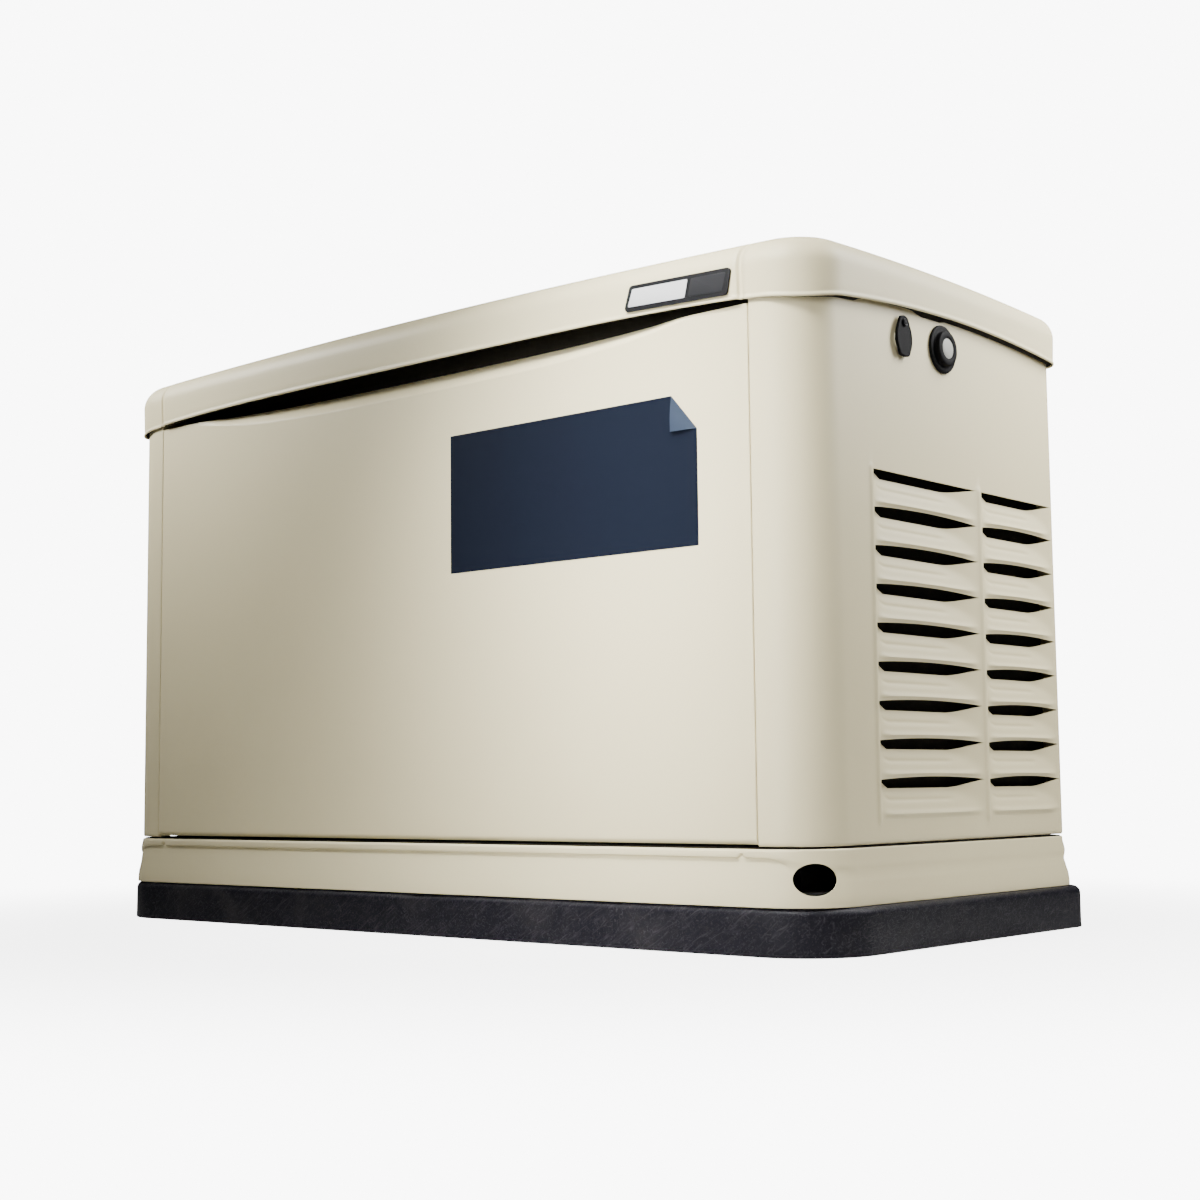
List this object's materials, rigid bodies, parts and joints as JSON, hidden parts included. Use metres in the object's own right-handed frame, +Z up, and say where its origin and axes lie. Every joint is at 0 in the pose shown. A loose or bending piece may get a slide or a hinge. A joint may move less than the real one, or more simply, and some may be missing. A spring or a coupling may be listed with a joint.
{
  "type": "home standby generator",
  "caption": "Box-shaped home standby generator: beige louvred sheet-metal enclosure with hinged lid and lift-off front door over a V-twin engine and alternator, on a dark composite pad.",
  "frame": {"origin": "centre of the pad's underside, on the ground", "axes": "+X towards the louvred alternator end with the status lamp, -Y towards the lift-off front door, +Z up"},
  "size_m": [1.218, 0.572, 0.7737],
  "materials": {
    "enclosure_paint": "fine textured powder coat, satin",
    "composite": "marbled moulded composite",
    "zinc_plate": "zinc plated",
    "bare_steel": "machined",
    "exhaust_steel": "heat tinted",
    "galvanised": "galvanised sheet",
    "chrome": "polished",
    "black_plastic": "satin moulded",
    "grey_plastic": "satin moulded",
    "lamp_lens": "translucent",
    "display": "clear over dark glass",
    "rubber": "matte",
    "cast_aluminium": "as cast",
    "black_paint": "semi gloss",
    "filter_paper": "pleated paper",
    "badge_plate": "brushed",
    "red_plastic": "moulded",
    "green_plastic": "moulded",
    "blue_plastic": "moulded",
    "yellow_plastic": "moulded"
  },
  "bodies": {
    "chassis": {"mounting_pad": "composite", "base_frame": "enclosure_paint", "base_floor_pan": "enclosure_paint", "vibration_mount_left_front": "rubber", "vibration_mount_left_rear": "rubber", "vibration_mount_right_front": "rubber", "vibration_mount_right_rear": "rubber", "right_end_panel": "enclosure_paint", "left_end_panel": "enclosure_paint", "rear_panel": "enclosure_paint", "hinge_fixed_leaf_left": "zinc_plate", "hinge_fixed_leaf_right": "zinc_plate", "hinge_pin_left": "bare_steel", "hinge_pin_right": "bare_steel", "lock_barrel_left": "chrome", "lock_barrel_right": "chrome", "status_lamp_bezel": "rubber", "status_lamp_lens": "lamp_lens", "engine_crankcase": "cast_aluminium", "cylinder_front": "cast_aluminium", "cylinder_rear": "cast_aluminium", "valve_cover_front": "black_paint", "valve_cover_rear": "black_paint", "blower_housing": "black_paint", "starter_motor": "black_paint", "oil_filter": "black_paint", "fuel_mixer": "cast_aluminium", "airbox": "black_plastic", "airbox_cover": "black_plastic", "air_filter": "filter_paper", "fuel_regulator": "cast_aluminium", "fuel_hose": "rubber", "alternator_stator": "black_paint", "alternator_end_bracket": "cast_aluminium", "muffler": "exhaust_steel", "exhaust_pipes": "exhaust_steel", "exhaust_shroud": "galvanised", "battery": "black_plastic", "battery_tray": "black_plastic", "control_box": "grey_plastic", "display_window": "display", "main_breaker": "black_plastic"},
    "lid": {"lid": "enclosure_paint", "lid_badge": "badge_plate", "hinge_moving_leaf_left": "zinc_plate", "hinge_moving_leaf_right": "zinc_plate"},
    "door": {"front_door": "enclosure_paint"},
    "lock_plug_left": {"lock_plug_left": "chrome"},
    "lock_plug_right": {"lock_plug_right": "chrome"},
    "lock_cover_left": {"lock_cover_left": "black_plastic"},
    "lock_cover_right": {"lock_cover_right": "black_plastic"},
    "rotating_group": {"crankshaft": "bare_steel", "flywheel_fan": "cast_aluminium", "alternator_rotor": "bare_steel"},
    "dipstick": {"oil_dipstick": "yellow_plastic"},
    "auto_button": {"auto_button": "green_plastic"},
    "off_button": {"off_button": "red_plastic"},
    "manual_button": {"manual_button": "blue_plastic"},
    "menu_key": {"menu_key": "black_plastic"},
    "breaker_toggle": {"breaker_toggle": "black_plastic"}
  },
  "joints": [
    {"name": "lid_hinge", "type": "hinge", "parent": "chassis", "child": "lid", "pos_m": [0, 0.2795, 0.69], "axis": [-1, 0, 0], "range_deg": [0, 95]},
    {"name": "door_pull", "type": "slide", "parent": "chassis", "child": "door", "axis": [0, -1, 0], "range_m": [0, 0.25]},
    {"name": "lock_plug_left_turn", "type": "hinge", "parent": "chassis", "child": "lock_plug_left", "pos_m": [-0.59, -0.091, 0.668], "axis": [-1, 0, 0], "range_deg": [0, 90]},
    {"name": "lock_plug_right_turn", "type": "hinge", "parent": "chassis", "child": "lock_plug_right", "pos_m": [0.59, -0.091, 0.668], "axis": [1, 0, 0], "range_deg": [0, 90]},
    {"name": "lock_cover_left_swing", "type": "hinge", "parent": "chassis", "child": "lock_cover_left", "pos_m": [-0.5955, -0.091, 0.687], "axis": [1, 0, 0], "range_deg": [-95, 95]},
    {"name": "lock_cover_right_swing", "type": "hinge", "parent": "chassis", "child": "lock_cover_right", "pos_m": [0.5955, -0.091, 0.687], "axis": [1, 0, 0], "range_deg": [-95, 95]},
    {"name": "crank_spin", "type": "hinge", "parent": "chassis", "child": "rotating_group", "pos_m": [0, 0, 0.25], "axis": [1, 0, 0], "continuous": true},
    {"name": "dipstick_pull", "type": "slide", "parent": "chassis", "child": "dipstick", "axis": [0, 0, 1], "range_m": [0, 0.08]},
    {"name": "auto_button_press", "type": "slide", "parent": "chassis", "child": "auto_button", "axis": [0, 0.7071, -0.7071], "range_m": [0, 0.002], "stiffness_N_per_m": 600},
    {"name": "off_button_press", "type": "slide", "parent": "chassis", "child": "off_button", "axis": [0, 0.7071, -0.7071], "range_m": [0, 0.002], "stiffness_N_per_m": 600},
    {"name": "manual_button_press", "type": "slide", "parent": "chassis", "child": "manual_button", "axis": [0, 0.7071, -0.7071], "range_m": [0, 0.002], "stiffness_N_per_m": 600},
    {"name": "menu_key_press", "type": "slide", "parent": "chassis", "child": "menu_key", "axis": [0, 0.7071, -0.7071], "range_m": [0, 0.002], "stiffness_N_per_m": 600},
    {"name": "breaker_throw", "type": "hinge", "parent": "chassis", "child": "breaker_toggle", "pos_m": [0.365, -0.221, 0.415], "axis": [1, 0, 0], "range_deg": [0, 34]}
  ]
}
